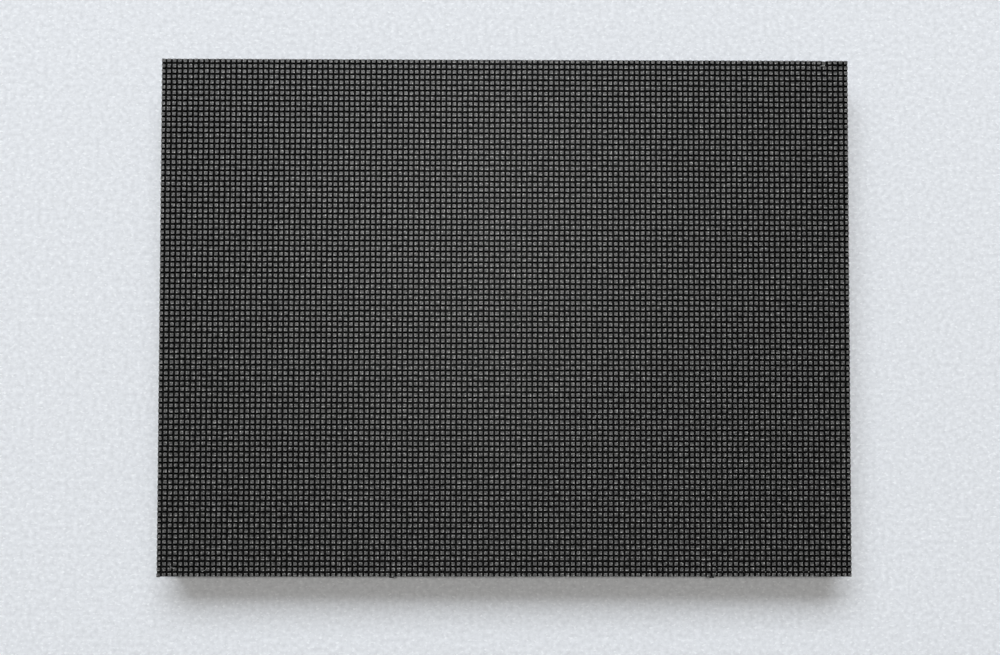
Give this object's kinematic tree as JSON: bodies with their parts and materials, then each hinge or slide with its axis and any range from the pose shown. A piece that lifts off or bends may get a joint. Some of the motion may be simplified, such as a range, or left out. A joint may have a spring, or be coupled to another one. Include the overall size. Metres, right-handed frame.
{
  "type": "flexible led display module",
  "caption": "Thin bendable display tile with a dense grid of square lamps on its face and ring magnets, driver chips and cable headers on its back.",
  "frame": {"origin": "centre of the tile, on the plane of the magnets' faces", "axes": "+Z out of the lamp face, +X along the long side to the viewer's right, +Y to the face's top"},
  "size_m": [0.1996, 0.1501, 0.0113],
  "materials": {
    "lamp_resin": "frosted resin",
    "mask_black": "matt black",
    "board_laminate": "solder mask",
    "frame_silicone": "soft matt",
    "magnet_nickel": "nickel plate",
    "screw_steel": "zinc plate",
    "nut_tin": "tin plate",
    "chip_epoxy": "moulded epoxy",
    "capacitor_plastic": "moulded",
    "can_aluminium": "drawn can",
    "ceramic_brown": "fired ceramic",
    "array_black": "glass coat",
    "header_black": "moulded",
    "pin_gold": "gold flash",
    "header_ivory": "moulded nylon",
    "pin_tin": "tin plate"
  },
  "bodies": {
    "root": {"lamp_rows": "lamp_resin", "face_mask": "mask_black", "circuit_board": "board_laminate", "back_frame": "frame_silicone", "magnet_screws": "screw_steel", "board_nuts": "nut_tin", "ceramic_capacitors": "ceramic_brown", "resistor_arrays": "array_black", "signal_in_shroud": "header_black", "signal_in_pins": "pin_gold", "signal_out_shroud": "header_black", "signal_out_pins": "pin_gold", "power_header": "header_ivory", "power_pins": "pin_tin", "magnet_1": "magnet_nickel", "magnet_2": "magnet_nickel", "magnet_3": "magnet_nickel", "magnet_4": "magnet_nickel", "magnet_5": "magnet_nickel", "magnet_6": "magnet_nickel", "magnet_7": "magnet_nickel", "magnet_8": "magnet_nickel", "magnet_9": "magnet_nickel", "magnet_10": "magnet_nickel", "magnet_11": "magnet_nickel", "magnet_12": "magnet_nickel", "driver_bank_1": "chip_epoxy", "driver_bank_2": "chip_epoxy", "driver_bank_3": "chip_epoxy", "driver_bank_4": "chip_epoxy", "driver_bank_5": "chip_epoxy", "driver_bank_6": "chip_epoxy", "row_switch_bank_1": "chip_epoxy", "row_switch_bank_2": "chip_epoxy", "buffer_1": "chip_epoxy", "capacitor_base_1": "capacitor_plastic", "capacitor_can_1": "can_aluminium", "buffer_2": "chip_epoxy", "capacitor_base_2": "capacitor_plastic", "capacitor_can_2": "can_aluminium", "buffer_3": "chip_epoxy", "capacitor_base_3": "capacitor_plastic", "capacitor_can_3": "can_aluminium", "buffer_4": "chip_epoxy", "capacitor_base_4": "capacitor_plastic", "capacitor_can_4": "can_aluminium"}
  },
  "joints": []
}
